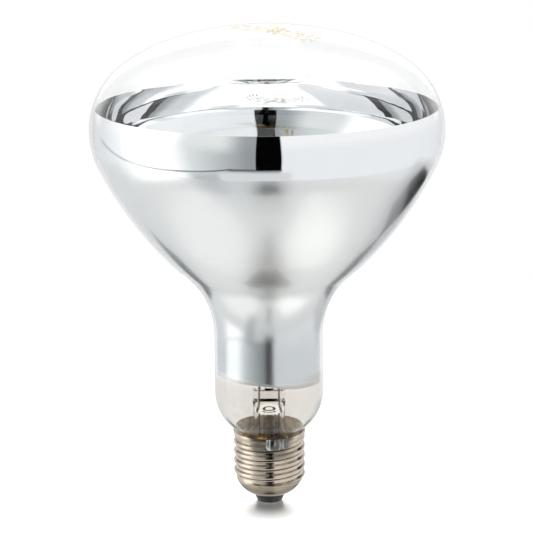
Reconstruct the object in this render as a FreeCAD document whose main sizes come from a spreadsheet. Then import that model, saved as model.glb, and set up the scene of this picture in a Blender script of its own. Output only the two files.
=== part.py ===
"""Infrared heat lamp bulb: a blown reflector bulb with a clear dome, standing on its screw cap.

Millimetres and degrees. The origin is the tip of the centre contact, +Z runs up the axis to the dome.
The press is broad along X, and the solder on the cap's skirt faces the front, near -Y.
Angles on the bulb's outline and on the cap's collar are those between the surface and the axis.
"""
import FreeCAD, Part
import math
import os
import re

import Sketcher
from FreeCAD import Placement, Rotation, Vector

SIZES = {
    # Blown bulb, outside, from the widest point up to the pole
    "max_radius": 62.5,
    "shoulder_radius": 27.8,
    "shoulder_angle": 54.9,
    "haunch_radius": 61.8,
    "haunch_angle": 73.2,
    # and from the widest point down to the neck
    "under_radius": 27.3,
    "under_angle": 25.4,
    "throat_radius": 30.8,
    "throat_angle": 47.6,
    "neck_radius": 19.78,
    "neck_length": 21.6,
    # Lower end of the neck, which is drawn in and sealed inside the cap
    "neck_rise": 14.5,
    "neck_end_radius": 17.2,
    "neck_end_angle": 50.0,
    "seal_bend": 4.0,
    "seal_radius": 11.2,
    "seal_length": 3.2,
    "glass_wall": 1.0,
    # Aluminium film on the inside of the bulb
    "film": 0.15,
    "film_rise": 8.5,
    "film_drop": 15.5,
    # Stem: trumpet-shaped flare, tube, end wall and flattened press
    "flare_recess": 1.0,
    "stem_radius": 5.8,
    "stem_wall": 1.0,
    "stem_length": 13.0,
    "end_wall": 1.5,
    "press_half_width": 6.0,
    "press_half_depth": 2.3,
    "press_round": 70.0,
    "press_taper": 2.6,
    "press_length": 4.0,
    # Tube through which the bulb was pumped out, sealed at its lower end
    "exhaust_radius": 2.2,
    "exhaust_wall": 0.8,
    "exhaust_clearance": 6.2,
    # Glass rod with the button that holds the wires of the filament
    "rod_radius": 1.6,
    "rod_length": 35.5,
    "button_radius": 3.2,
    "button_height": 4.4,
    "button_bend": 1.0,
    # Filament, its supports and its leads
    "ring_radius": 13.0,
    "ring_height": 8.5,
    "ring_corners": 7,
    "coil_radius": 0.8,
    "support_wire": 0.5,
    "support_grip": 1.6,
    "loop_gap": 0.05,
    "lead_spread": 3.6,
    "inner_wire": 1.0,
    "lead_rise": 32.0,
    "sleeve_length": 3.0,
    "sleeve_wall": 0.5,
    "seal_wire": 0.8,
    "outer_wire": 0.6,
    "lead_clearance": 1.1,
    # Screw cap; its thread is rolled to the depth between the two radii
    "cap_length": 27.9,
    "cap_radius": 13.1,
    "root_radius": 12.2,
    "cap_sheet": 0.3,
    "rim_radius": 13.3,
    "rim_height": 0.8,
    "thread_foot": 10.2,
    "collar_height": 9.0,
    "collar_bend": 10.0,
    "collar_start": 22.0,
    "collar_end": 71.0,
    # Insulator, contact and solder at the tip
    "insulator_start": 38.0,
    "insulator_foot": 4.6,
    "insulator_drop": 0.3,
    "contact_drop": 0.15,
    "contact_radius": 3.4,
    "contact_edge": 0.25,
    "contact_plate": 0.6,
    "rivet_radius": 1.6,
    "rivet_bore": 0.7,
    "rivet_rise": 0.5,
    "solder_flat": 1.4,
    "solder_radius": 2.3,
    "solder_bend": 3.0,
    "solder_plug": 2.0,
    # Side lead, its solder and the cement
    "side_angle": -78.0,
    "side_gap": 0.05,
    "side_dip": 1.5,
    "side_turn": 3.0,
    "side_hole_rise": 1.2,
    "side_reach": 0.25,
    "patch_half_width": 4.2,
    "patch_height": 4.2,
    "patch_bend": 4.0,
    "patch_round": 1.6,
    "cement_gap": 0.05,
    "cement_depth": 8.0,
    "cement_step": 0.7,
}

# Values that follow from the sizes, each a formula in the words above it
WORKED = {
    # Heights along the neck, measured from the tip of the contact
    "neck_low": "cap_length + neck_rise",
    "neck_top": "neck_low + neck_length",
    # Joints of the arcs between the neck and the widest point
    "throat_r": "neck_radius + throat_radius * (1 - cos(throat_angle))",
    "throat_z": "neck_top + throat_radius * sin(throat_angle)",
    "under_r": "max_radius - under_radius * (1 - cos(under_angle))",
    "flank_radius": "(under_r - throat_r) / (cos(under_angle) - cos(throat_angle))",
    "under_z": "throat_z + flank_radius * (sin(throat_angle) - sin(under_angle))",
    "widest_z": "under_z + under_radius * sin(under_angle)",
    "flank_centre_r": "under_r - flank_radius * cos(under_angle)",
    "flank_centre_z": "under_z + flank_radius * sin(under_angle)",
    # Centres of the arcs between the widest point and the pole
    "shoulder_centre_r": "max_radius - shoulder_radius",
    "haunch_centre_r": "shoulder_centre_r + (shoulder_radius - haunch_radius) * cos(shoulder_angle)",
    "haunch_centre_z": "widest_z + (shoulder_radius - haunch_radius) * sin(shoulder_angle)",
    "pole_radius": "haunch_radius + haunch_centre_r / cos(haunch_angle)",
    "pole_centre_z": "haunch_centre_z - haunch_centre_r * tan(haunch_angle)",
    # Drawn-in end of the neck
    "drawn_r": "neck_radius - neck_end_radius * (1 - cos(neck_end_angle))",
    "drawn_z": "neck_low - neck_end_radius * sin(neck_end_angle)",
    "cone_r": "seal_radius + seal_bend * (1 - cos(neck_end_angle))",
    "cone_z": "drawn_z - (drawn_r - cone_r) / tan(neck_end_angle)",
    "seal_top": "cone_z - seal_bend * sin(neck_end_angle)",
    "seal_foot": "seal_top - seal_length",
    # Stem
    "seal_inside": "seal_radius - glass_wall",
    "flare_z": "seal_foot + flare_recess",
    "flare_bend": "seal_inside - stem_radius",
    "flare_top": "flare_z + stem_wall + flare_bend",
    "stem_top": "flare_z + stem_length",
    "press_foot": "stem_top + press_taper",
    "press_top": "press_foot + press_length",
    "bore_top": "stem_top - end_wall",
    # Mount
    "button_foot": "press_top + rod_length",
    "button_middle": "button_foot + button_height / 2",
    "ring_z": "button_middle + ring_height",
    "corner_angle": "360 / round(ring_corners)",
    "loop_radius": "coil_radius / cos(corner_angle / 2) + loop_gap + support_wire / 2",
    "support_start": "button_radius - support_grip",
    "support_run": "ring_radius - support_start",
    "support_tilt": "atan2(support_run; ring_height)",
    "support_length": "sqrt(support_run ^ 2 + ring_height ^ 2) - loop_radius",
    "lead_tip_x": "ring_radius * sin(corner_angle / 2) - lead_spread",
    "lead_tip_y": "ring_radius * cos(corner_angle / 2)",
    "lead_turn": "atan2(lead_tip_y; lead_tip_x)",
    "lead_reach": "sqrt(lead_tip_x ^ 2 + lead_tip_y ^ 2)",
    # Collar of the cap
    "collar_centre_r": "root_radius - collar_bend * cos(collar_start)",
    "collar_centre_z": "collar_height + collar_bend * sin(collar_start)",
    # Tip of the cap
    "plate_top": "contact_drop + contact_plate",
    "insulator_top": "collar_centre_z - (collar_bend - cap_sheet) * sin(insulator_start)",
    "rivet_top": "insulator_top + rivet_rise",
    "exhaust_foot": "rivet_top + exhaust_clearance",
    # Side lead
    "side_r": "seal_radius + side_gap + outer_wire / 2",
    "side_x": "side_r * cos(side_angle) - lead_spread",
    "side_y": "side_r * sin(side_angle)",
    "side_run": "sqrt(side_x ^ 2 + side_y ^ 2)",
    "side_low": "seal_foot - side_dip",
    "side_high": "cap_length - side_turn",
}

document = FreeCAD.newDocument("heat_lamp_bulb")
PARTS = []


def fill_sheet():
    """The spreadsheet with the sizes, and the set of values worked out from them."""
    sheet = document.addObject("Spreadsheet::Sheet", "Sizes")
    for row, (word, value) in enumerate(SIZES.items(), start=1):
        sheet.set(f"A{row}", word)
        sheet.set(f"B{row}", str(value))
        sheet.setAlias(f"B{row}", word)
    worked = document.addObject("App::VarSet", "Worked")
    for word, text in WORKED.items():
        worked.addProperty("App::PropertyFloat", word, "Worked")
        worked.setExpression(word, formula(text))
    document.recompute()
    return sheet


def formula(text):
    """The formula with each word of the two lists above replaced by where its value is kept."""

    def place(match):
        word = match.group(0)
        if word in SIZES:
            return "Sizes." + word
        return "Worked." + word if word in WORKED else word

    return re.sub(r"[a-z][a-z0-9_]*", place, text)


def number(text):
    """The present value of a formula."""
    value = document.Sizes.evalExpression(formula(text))
    return float(getattr(value, "Value", value))


def bind(item, **formulas):
    """Ties each named property of item to its formula. Two underscores stand for a dot."""
    for name, text in formulas.items():
        item.setExpression(name.replace("__", "."), formula(text))


def new_part(kind, name):
    """An object that becomes a part of its own, named by its Label."""
    part = document.addObject(kind, name)
    part.Label = name
    PARTS.append(part)
    return part


def helper_body(name):
    """A body that only takes part in another object."""
    return document.addObject("PartDesign::Body", name)


def plane(body, role):
    return next(feature for feature in body.Origin.OriginFeatures if feature.Role == role)


def arc_between(start, end, radius):
    """The short arc from start to end, with its centre on the left where radius is positive."""
    chord = end - start
    middle = (start + end) / 2
    rise = math.sqrt(max(radius**2 - (chord.Length / 2) ** 2, 0.0))
    left = Vector(-chord.y, chord.x, 0).normalize()
    centre = middle + left * math.copysign(rise, radius)
    first, last = (start, end) if radius > 0 else (end, start)
    angles = [math.atan2(point.y - centre.y, point.x - centre.x) for point in (first, last)]
    return Part.ArcOfCircle(Part.Circle(centre, Vector(0, 0, 1), abs(radius)), *angles)


def draw(sketch, corners, closed=True):
    """Draws a line through corners, each a pair of formulas, all of them fixed by constraints.

    A third formula makes the edge that leaves the corner an arc of that radius, with its centre
    on the left of the way along it, or on the right where the formula starts with a minus sign.
    """
    places = [Vector(number(x), number(y), 0) for x, y, *_ in corners]
    count = len(corners) if closed else len(corners) - 1
    ends = []
    for index in range(count):
        start, end = places[index], places[(index + 1) % len(places)]
        bend = corners[index][2] if len(corners[index]) > 2 else ""
        if bend:
            edge = sketch.addGeometry(arc_between(start, end, number(bend)), False)
            text = bend.removeprefix("-")
            sketch.addConstraint(Sketcher.Constraint("Radius", edge, number(text)))
            sketch.setExpression(f"Constraints[{sketch.ConstraintCount - 1}]", formula(text))
            ends.append((edge, 2, 1) if bend.startswith("-") else (edge, 1, 2))
        else:
            edge = sketch.addGeometry(Part.LineSegment(start, end), False)
            ends.append((edge, 1, 2))
    for index in range(count if closed else count - 1):
        edge, _, last = ends[index]
        other, first, _ = ends[(index + 1) % count]
        sketch.addConstraint(Sketcher.Constraint("Coincident", edge, last, other, first))
    for index, (x, y, *_) in enumerate(corners):
        edge, first, last = ends[min(index, count - 1)]
        point = first if index < count else last
        fix_point(sketch, edge, point, x, y)


def fix_point(sketch, edge, point, x, y):
    """Holds one point of a sketch at the place that two formulas give."""
    for kind, axis, text in (("DistanceX", -2, x), ("DistanceY", -1, y)):
        if text == "0":
            sketch.addConstraint(Sketcher.Constraint("PointOnObject", edge, point, axis))
            continue
        sketch.addConstraint(Sketcher.Constraint(kind, -1, 1, edge, point, number(text)))
        sketch.setExpression(f"Constraints[{sketch.ConstraintCount - 1}]", formula(text))


def draw_circle(sketch, x, y, radius):
    centre = Vector(number(x), number(y), 0)
    edge = sketch.addGeometry(Part.Circle(centre, Vector(0, 0, 1), number(radius)), False)
    fix_point(sketch, edge, 3, x, y)
    sketch.addConstraint(Sketcher.Constraint("Radius", edge, number(radius)))
    sketch.setExpression(f"Constraints[{sketch.ConstraintCount - 1}]", formula(radius))


def new_sketch(body, name, role, height=""):
    """An empty sketch on one of the body's own planes, raised by height where that is given."""
    sketch = body.newObject("Sketcher::SketchObject", name)
    sketch.AttachmentSupport = (plane(body, role), [""])
    sketch.MapMode = "FlatFace"
    if height:
        sketch.AttachmentOffset = Placement(Vector(0, 0, number(height)), Rotation())
        bind(sketch, AttachmentOffset__Base__z=height)
    return sketch


def revolve(body, corners):
    """Turns a closed outline of radii and heights about the axis."""
    sketch = new_sketch(body, body.Name + "_outline", "XZ_Plane")
    draw(sketch, corners)
    turned = body.newObject("PartDesign::Revolution", body.Name + "_turned")
    turned.Profile = sketch
    turned.ReferenceAxis = (sketch, ["V_Axis"])
    turned.Angle = 360
    return turned


def sweep_wire(body, role, corners, radius):
    """Sweeps a round wire along an open line of corners, rounding each of them."""
    path = new_sketch(body, body.Name + "_path", role)
    draw(path, corners, closed=False)
    section = body.newObject("Sketcher::SketchObject", body.Name + "_section")
    section.AttachmentSupport = (path, ["Edge1"])
    section.MapMode = "NormalToEdge"
    section.MapPathParameter = 0
    document.recompute()
    draw_circle(section, "0", "0", radius)
    wire = body.newObject("PartDesign::AdditivePipe", body.Name + "_wire")
    wire.Profile = section
    wire.Spine = (path, [f"Edge{number + 1}" for number in range(len(corners) - 1)])
    wire.Transition = "Round corner"
    return wire


def turn_body(body, angle, x="0"):
    """Turns a body about the axis, then moves it along X."""
    body.Placement = Placement(Vector(number(x), 0, 0), Rotation(Vector(0, 0, 1), number(angle)))
    bind(body, Placement__Base__x=x, Placement__Rotation__Angle=angle)


def cut(name, base, tools):
    """A part that is base less every tool."""
    tool = tools[0]
    if len(tools) > 1:
        tool = document.addObject("Part::MultiFuse", name + "_tools")
        tool.Shapes = tools
    part = new_part("Part::Cut", name)
    part.Base = base
    part.Tool = tool
    return part


def along(centre_r, centre_z, radius, angle):
    """A point of an arc, as a pair of formulas. angle is counted up from the level."""
    return f"{centre_r} + ({radius}) * cos({angle})", f"{centre_z} + ({radius}) * sin({angle})"


def dome_corners(inset):
    """The outline from the pole down to the widest point, set in by inset."""
    pole, haunch, shoulder = (f"{arc}_radius - {inset}" for arc in ("pole", "haunch", "shoulder"))
    return [
        ("0", f"pole_centre_z + {pole}", f"-({pole})"),
        (*along("haunch_centre_r", "haunch_centre_z", haunch, "haunch_angle"), f"-({haunch})"),
        (*along("shoulder_centre_r", "widest_z", shoulder, "shoulder_angle"), f"-({shoulder})"),
    ]


def funnel_corners(inset):
    """The outline from the widest point down to the foot of the straight neck."""
    flank = f"flank_radius - {inset}"
    return [
        (f"max_radius - {inset}", "widest_z", f"-(under_radius - {inset})"),
        (*along("flank_centre_r", "flank_centre_z", flank, "-under_angle"), f"-({flank})"),
        (*along("flank_centre_r", "flank_centre_z", flank, "-throat_angle"), f"throat_radius + {inset}"),
        (f"neck_radius - {inset}", "neck_top"),
    ]


def end_corners(inset):
    """The outline from the foot of the straight neck down to the end that is sealed."""
    return [
        (f"neck_radius - {inset}", "neck_low", f"-(neck_end_radius - {inset})"),
        along("drawn_r", "drawn_z", f"-{inset}", "-neck_end_angle"),
        (*along("cone_r", "cone_z", f"-{inset}", "-neck_end_angle"), f"seal_bend + {inset}"),
        (f"seal_radius - {inset}", "seal_top"),
        (f"seal_radius - {inset}", "seal_foot"),
    ]


def reverse(corners):
    """The same line walked the other way, with each arc bent to the other side."""
    turned = []
    for index in range(len(corners) - 1, -1, -1):
        bend = corners[index - 1][2] if index and len(corners[index - 1]) > 2 else ""
        if bend:
            bend = bend.removeprefix("-") if bend.startswith("-") else f"-({bend})"
        turned.append((*corners[index][:2], bend))
    return turned


def make_envelope():
    """The blown bulb: one wall from the dome over the reflector to the seal in the cap."""
    outside = dome_corners("0") + funnel_corners("0") + end_corners("0")
    inside = dome_corners("glass_wall") + funnel_corners("glass_wall") + end_corners("glass_wall")
    revolve(new_part("PartDesign::Body", "glass_envelope"), outside + reverse(inside))


def make_coating():
    """The film: it lies on the glass from a rim above the widest point down into the neck."""

    def side(inset):
        rim_r = f"shoulder_centre_r + sqrt((shoulder_radius - {inset}) ^ 2 - film_rise ^ 2)"
        rim = (rim_r, "widest_z + film_rise", f"-(shoulder_radius - {inset})")
        foot = (f"neck_radius - {inset}", "neck_top - film_drop")
        return [rim] + funnel_corners(inset) + [foot]

    outside, inside = side("glass_wall"), side("(glass_wall + film)")
    revolve(new_part("PartDesign::Body", "reflector_coating"), outside + reverse(inside))


def circle_corners(radius):
    """A circle as four arcs."""
    near = f"{radius} * cos(45)"
    corners = [(near, f"-{near}"), (near, near), (f"-{near}", near), (f"-{near}", f"-{near}")]
    return [(x, y, radius) for x, y in corners]


def press_corners():
    """The section of the press: two flats between rounded ends."""
    side = "(press_half_width - press_half_depth + press_half_depth * cos(press_round))"
    edge = "press_half_depth * sin(press_round)"
    return [
        (side, f"-{edge}", "press_half_depth"),
        (side, edge),
        (f"-{side}", edge, "press_half_depth"),
        (f"-{side}", f"-{edge}"),
    ]


def make_stem(seal_wires):
    """The stem: a flare and tube closed by the press, in which the seal wires lie."""
    body = helper_body("stem_glass")
    revolve(
        body,
        [
            ("seal_inside", "flare_z"),
            ("seal_inside", "flare_z + stem_wall", "-flare_bend"),
            ("stem_radius", "flare_top"),
            ("stem_radius", "stem_top"),
            ("0", "stem_top"),
            ("0", "bore_top"),
            ("stem_radius - stem_wall", "bore_top"),
            ("stem_radius - stem_wall", "flare_top", "flare_bend + stem_wall"),
        ],
    )
    foot = new_sketch(body, "press_foot_outline", "XY_Plane", "stem_top")
    draw(foot, circle_corners("stem_radius"))
    top = new_sketch(body, "press_outline", "XY_Plane", "press_foot")
    draw(top, press_corners())
    taper = body.newObject("PartDesign::AdditiveLoft", "press_taper_loft")
    taper.Profile = foot
    taper.Sections = [top]
    block = body.newObject("PartDesign::Pad", "press_block")
    block.Profile = top
    block.Length = number("press_length")
    bind(block, Length="press_length")
    cut("stem", body, seal_wires)


def make_exhaust_tube():
    """The pumping tube under the end wall of the stem, closed by a round tip."""
    bore = "exhaust_radius - exhaust_wall"
    revolve(
        new_part("PartDesign::Body", "exhaust_tube"),
        [
            (bore, "bore_top"),
            (bore, "exhaust_foot + exhaust_radius", f"-({bore})"),
            ("0", "exhaust_foot + exhaust_wall"),
            ("0", "exhaust_foot", "exhaust_radius"),
            ("exhaust_radius", "exhaust_foot + exhaust_radius"),
            ("exhaust_radius", "bore_top"),
        ],
    )


def make_support_rod(supports):
    """The rod on the press, with a button at its top that grips the support wires."""
    body = helper_body("rod_glass")
    top = "button_foot + button_height"
    revolve(
        body,
        [
            ("0", "press_top"),
            ("rod_radius", "press_top"),
            ("rod_radius", "button_foot"),
            ("button_radius - button_bend", "button_foot", "button_bend"),
            ("button_radius", "button_foot + button_bend"),
            ("button_radius", f"{top} - button_bend", "button_bend"),
            ("button_radius - button_bend", top),
            ("0", top),
        ],
    )
    cut("support_rod", body, supports)


def corner_count():
    """How many corners the ring has, the two at its open side among them."""
    return round(number("ring_corners"))


def corner_direction(index):
    """The direction of a corner of the filament's ring, the open side facing the back."""
    return f"90 + (0.5 + {index}) * corner_angle"


def make_filament():
    """The coil, as the round bar that its turns fill, strung from corner to corner."""
    body = new_part("PartDesign::Body", "filament")
    turns = [corner_direction(index) for index in range(corner_count())]
    corners = [(f"ring_radius * cos({turn})", f"ring_radius * sin({turn})") for turn in turns]
    sweep_wire(body, "XY_Plane", corners, "coil_radius")
    body.Placement = Placement(Vector(0, 0, number("ring_z")), Rotation())
    bind(body, Placement__Base__z="ring_z")
    return body


def make_support(index):
    """One wire from the button up to the ring, ending in a loop round the coil."""
    body = new_part("PartDesign::Body", f"filament_support_{index}")
    wire = body.newObject("PartDesign::AdditiveCylinder", f"support_wire_{index}")
    wire.AttachmentSupport = (plane(body, "XY_Plane"), [""])
    wire.MapMode = "FlatFace"
    wire.AttachmentOffset = Placement(Vector(0, 0, 0), Rotation(Vector(0, 1, 0), number("support_tilt")))
    bind(
        wire,
        Radius="support_wire / 2",
        Height="support_length",
        AttachmentOffset__Base__x="support_start",
        AttachmentOffset__Base__z="button_middle",
        AttachmentOffset__Rotation__Angle="support_tilt",
    )
    loop = body.newObject("PartDesign::AdditiveTorus", f"support_loop_{index}")
    loop.AttachmentSupport = (plane(body, "XZ_Plane"), [""])
    loop.MapMode = "FlatFace"
    bind(
        loop,
        Radius1="loop_radius",
        Radius2="support_wire / 2",
        AttachmentOffset__Base__x="ring_radius",
        AttachmentOffset__Base__y="ring_z",
    )
    turn_body(body, corner_direction(index))
    return body


def make_press_seal(name, side):
    """The short wire that takes the current through the press."""
    part = new_part("Part::Cylinder", name)
    part.Placement = Placement(Vector(number(side), 0, number("bore_top")), Rotation())
    bind(
        part,
        Radius="seal_wire / 2",
        Height="press_top - bore_top",
        Placement__Base__x=side,
        Placement__Base__z="bore_top",
    )
    return part


def make_inner_lead(name, side, turn, sleeve_turn, filament):
    """The lead from the press up to one end of the filament, with the sleeve that clamps it."""
    bar = helper_body(name + "_bar")
    sweep_wire(
        bar,
        "XZ_Plane",
        [("0", "press_top"), ("0", "press_top + lead_rise"), ("lead_reach", "ring_z")],
        "inner_wire / 2",
    )
    turn_body(bar, turn, side)
    sleeve = helper_body(name + "_sleeve")
    tube = sleeve.newObject("PartDesign::AdditiveCylinder", name + "_sleeve_tube")
    tube.AttachmentSupport = (plane(sleeve, "YZ_Plane"), [""])
    tube.MapMode = "FlatFace"
    bind(
        tube,
        Radius="coil_radius + sleeve_wall",
        Height="sleeve_length",
        AttachmentOffset__Base__z="-sleeve_wall",
    )
    turn_body(sleeve, sleeve_turn)
    bind(
        sleeve,
        Placement__Base__x=f"{side} / lead_spread * (lead_spread + lead_tip_x)",
        Placement__Base__y="lead_tip_y",
        Placement__Base__z="ring_z",
    )
    joined = document.addObject("Part::MultiFuse", name + "_joined")
    joined.Shapes = [bar, sleeve]
    cut(name, joined, [filament])


def make_outer_leads():
    """The leads under the press: one runs to the contact, the other to the side of the cap."""
    centre = new_part("PartDesign::Body", "centre_lead")
    sweep_wire(
        centre,
        "XZ_Plane",
        [
            ("lead_spread", "bore_top"),
            ("lead_spread", "exhaust_foot"),
            ("0", "rivet_top + lead_clearance"),
            ("0", "contact_drop"),
        ],
        "outer_wire / 2",
    )
    turn_body(centre, "180")
    side = new_part("PartDesign::Body", "side_lead")
    sweep_wire(
        side,
        "XZ_Plane",
        [
            ("0", "bore_top"),
            ("0", "side_low"),
            ("side_run", "side_low"),
            ("side_run", "side_high"),
            ("side_run + cap_radius + side_reach - side_r", "side_high + side_hole_rise"),
        ],
        "outer_wire / 2",
    )
    turn_body(side, "atan2(side_y; side_x)", "lead_spread")
    return side


def on_collar(angle, inset):
    """A point of the cap's collar, as a pair of formulas."""
    return along("collar_centre_r", "collar_centre_z", f"collar_bend - {inset}", f"-{angle}")


def cap_side(inset):
    """The side of the cap from its rim down to the edge of its collar."""
    return [
        (f"rim_radius - {inset}", "cap_length"),
        (f"rim_radius - {inset}", "cap_length - rim_height"),
        (f"cap_radius - {inset}", "cap_length - 2 * rim_height"),
        (f"cap_radius - {inset}", "thread_foot"),
        (*on_collar("collar_start", inset), f"-(collar_bend - {inset})"),
        on_collar("collar_end", inset),
    ]


def make_cap(side_lead):
    """The cap's drawn shell, with the hole for the side lead."""
    body = helper_body("cap_sheet_metal")
    revolve(body, cap_side("0") + reverse(cap_side("cap_sheet")))
    cut("cap_shell", body, [side_lead])


def make_insulator():
    """The glass that is cast in the collar and carries the contact."""
    revolve(
        new_part("PartDesign::Body", "cap_insulator"),
        [
            ("rivet_radius", "plate_top"),
            ("contact_radius", "plate_top"),
            ("contact_radius", "insulator_drop"),
            ("insulator_foot", "insulator_drop"),
            (*on_collar("collar_end", "cap_sheet"), "collar_bend - cap_sheet"),
            on_collar("insulator_start", "cap_sheet"),
            ("rivet_radius", "insulator_top"),
        ],
    )


def make_contact():
    """The contact: a round plate, let into the insulator, with a hollow rivet through it."""
    revolve(
        new_part("PartDesign::Body", "centre_contact"),
        [
            ("rivet_bore", "contact_drop"),
            ("contact_radius - contact_edge", "contact_drop", "contact_edge"),
            ("contact_radius", "contact_drop + contact_edge"),
            ("contact_radius", "plate_top"),
            ("rivet_radius", "plate_top"),
            ("rivet_radius", "rivet_top"),
            ("rivet_bore", "rivet_top"),
        ],
    )


def make_contact_solder():
    """The drop of solder under the contact, flat at its tip, that fills the rivet round the lead."""
    revolve(
        new_part("PartDesign::Body", "contact_solder"),
        [
            ("0", "0"),
            ("solder_flat", "0", "solder_bend"),
            ("solder_radius", "contact_drop"),
            ("rivet_bore", "contact_drop"),
            ("rivet_bore", "contact_drop + solder_plug"),
            ("outer_wire / 2", "contact_drop + solder_plug"),
            ("outer_wire / 2", "contact_drop"),
            ("0", "contact_drop"),
        ],
    )


def make_side_solder(side_lead):
    """The solder that joins the side lead to the outside of the cap, a crowned patch on its rim."""
    crown = helper_body("patch_crown")
    foot = ("cap_radius", "cap_length - patch_height")
    outside = [(*foot, "patch_bend"), *cap_side("0")[:3]]
    revolve(crown, outside)
    patch = helper_body("patch_block")
    outline = new_sketch(patch, "patch_outline", "YZ_Plane")
    wide, tall = "patch_half_width", "patch_height"
    low, high = f"cap_length - {tall}", f"cap_length - {tall} + patch_round"
    draw(
        outline,
        [
            (f"-{wide}", "cap_length"),
            (f"-{wide}", high, "patch_round"),
            (f"-({wide} - patch_round)", low),
            (f"{wide} - patch_round", low, "patch_round"),
            (wide, high),
            (wide, "cap_length"),
        ],
    )
    block = patch.newObject("PartDesign::Pad", "patch_pad")
    block.Profile = outline
    block.Length = number("2 * rim_radius")
    bind(block, Length="2 * rim_radius")
    turn_body(patch, "side_angle")
    common = document.addObject("Part::Common", "patch")
    common.Base = crown
    common.Tool = patch
    cut("side_solder", common, [side_lead])


def make_cement(side_lead):
    """The cement that fills the gap between the neck of the bulb and the cap."""
    body = helper_body("cement_ring")
    foot = "cap_length - cement_depth"
    thread_inside = "root_radius - cap_sheet - cement_gap"
    revolve(
        body,
        [
            ("seal_radius", foot),
            (thread_inside, foot),
            (thread_inside, "seal_top - cement_step"),
            ("cap_radius - cap_sheet", "seal_top"),
            ("cap_radius - cap_sheet", "cap_length - 2 * rim_height"),
            ("cone_r", "cone_z", "seal_bend"),
            ("seal_radius", "seal_top"),
        ],
    )
    cut("basing_cement", body, [side_lead])


def check(part):
    """Stops on anything that failed, or on a part that is not one sound solid."""
    shape = part.Shape
    if shape.isNull() or not shape.isValid() or len(shape.Solids) != 1:
        raise ValueError(f"{part.Label}: not one sound solid")


def main():
    fill_sheet()
    make_envelope()
    make_coating()
    make_stem(
        [
            make_press_seal("press_seal_left", "-lead_spread"),
            make_press_seal("press_seal_right", "lead_spread"),
        ]
    )
    make_exhaust_tube()
    make_support_rod([make_support(index) for index in range(1, corner_count() - 1)])
    filament = make_filament()
    make_inner_lead("inner_lead_left", "-lead_spread", "180 - lead_turn", "180 + corner_angle", filament)
    make_inner_lead("inner_lead_right", "lead_spread", "lead_turn", "-corner_angle", filament)
    side_lead = make_outer_leads()
    make_cap(side_lead)
    make_insulator()
    make_contact()
    make_contact_solder()
    make_side_solder(side_lead)
    make_cement(side_lead)
    document.recompute()
    for item in document.Objects:
        if {"Invalid", "Error"} & set(item.State):
            raise ValueError(f"{item.Name}: {item.State}")
    for part in PARTS:
        check(part)
    os.makedirs("parts", exist_ok=True)
    for part in PARTS:
        part.Shape.exportStep(f"parts/{part.Label}.step")
        print(part.Label, round(part.Shape.Volume, 2), part.Shape.BoundBox)


main()
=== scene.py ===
"""Infrared heat lamp bulb: the looks of its glass, mirror film, screw cap and wire mount.

Sizes are in millimetres and degrees, and become metres where a mesh is made. +Z runs up the bulb's
axis, the camera looks along +Y, and +X is on its right.
"""
import math

import bmesh
import bpy
from mathutils import Matrix, Vector


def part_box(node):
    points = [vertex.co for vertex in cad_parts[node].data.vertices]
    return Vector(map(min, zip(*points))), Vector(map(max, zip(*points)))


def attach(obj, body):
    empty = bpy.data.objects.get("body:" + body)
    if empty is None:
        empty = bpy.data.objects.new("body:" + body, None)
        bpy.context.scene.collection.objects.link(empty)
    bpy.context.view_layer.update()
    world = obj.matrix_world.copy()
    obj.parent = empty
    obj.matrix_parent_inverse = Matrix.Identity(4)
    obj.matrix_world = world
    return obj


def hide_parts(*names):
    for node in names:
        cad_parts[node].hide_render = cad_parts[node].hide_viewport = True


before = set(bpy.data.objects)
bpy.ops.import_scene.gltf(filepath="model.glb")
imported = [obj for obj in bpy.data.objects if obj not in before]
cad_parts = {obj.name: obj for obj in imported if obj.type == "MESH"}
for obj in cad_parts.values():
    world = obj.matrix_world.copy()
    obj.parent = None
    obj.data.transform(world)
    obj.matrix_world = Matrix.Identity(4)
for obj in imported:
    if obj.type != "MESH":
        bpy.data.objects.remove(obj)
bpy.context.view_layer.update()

MM = 0.001


# Outline of the bulb, as arcs that run into each other without a corner

MAX_RADIUS = 62.5
SHOULDER_RADIUS, SHOULDER_ANGLE = 27.8, 54.9
HAUNCH_RADIUS, HAUNCH_ANGLE = 61.8, 73.2
UNDER_RADIUS, UNDER_ANGLE = 27.3, 25.4
THROAT_RADIUS, THROAT_ANGLE = 30.8, 47.6
NECK_RADIUS, NECK_LOW, NECK_TOP = 19.78, 42.4, 64.0
NECK_END_RADIUS, NECK_END_ANGLE = 17.2, 50.0
SEAL_BEND, SEAL_RADIUS, SEAL_LENGTH = 4.0, 11.2, 3.2
GLASS_WALL = 1.0
FILM_GAP = 0.02
FILM_WALL = 0.1


def cos(angle):
    return math.cos(math.radians(angle))


def sin(angle):
    return math.sin(math.radians(angle))


THROAT_R = NECK_RADIUS + THROAT_RADIUS * (1 - cos(THROAT_ANGLE))
THROAT_Z = NECK_TOP + THROAT_RADIUS * sin(THROAT_ANGLE)
UNDER_R = MAX_RADIUS - UNDER_RADIUS * (1 - cos(UNDER_ANGLE))
FLANK_RADIUS = (UNDER_R - THROAT_R) / (cos(UNDER_ANGLE) - cos(THROAT_ANGLE))
UNDER_Z = THROAT_Z + FLANK_RADIUS * (sin(THROAT_ANGLE) - sin(UNDER_ANGLE))
WIDEST_Z = UNDER_Z + UNDER_RADIUS * sin(UNDER_ANGLE)
HAUNCH_R = MAX_RADIUS - SHOULDER_RADIUS + (SHOULDER_RADIUS - HAUNCH_RADIUS) * cos(SHOULDER_ANGLE)
HAUNCH_Z = WIDEST_Z + (SHOULDER_RADIUS - HAUNCH_RADIUS) * sin(SHOULDER_ANGLE)
POLE_RADIUS = HAUNCH_RADIUS + HAUNCH_R / cos(HAUNCH_ANGLE)
POLE_Z = HAUNCH_Z - HAUNCH_R * math.tan(math.radians(HAUNCH_ANGLE))
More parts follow.
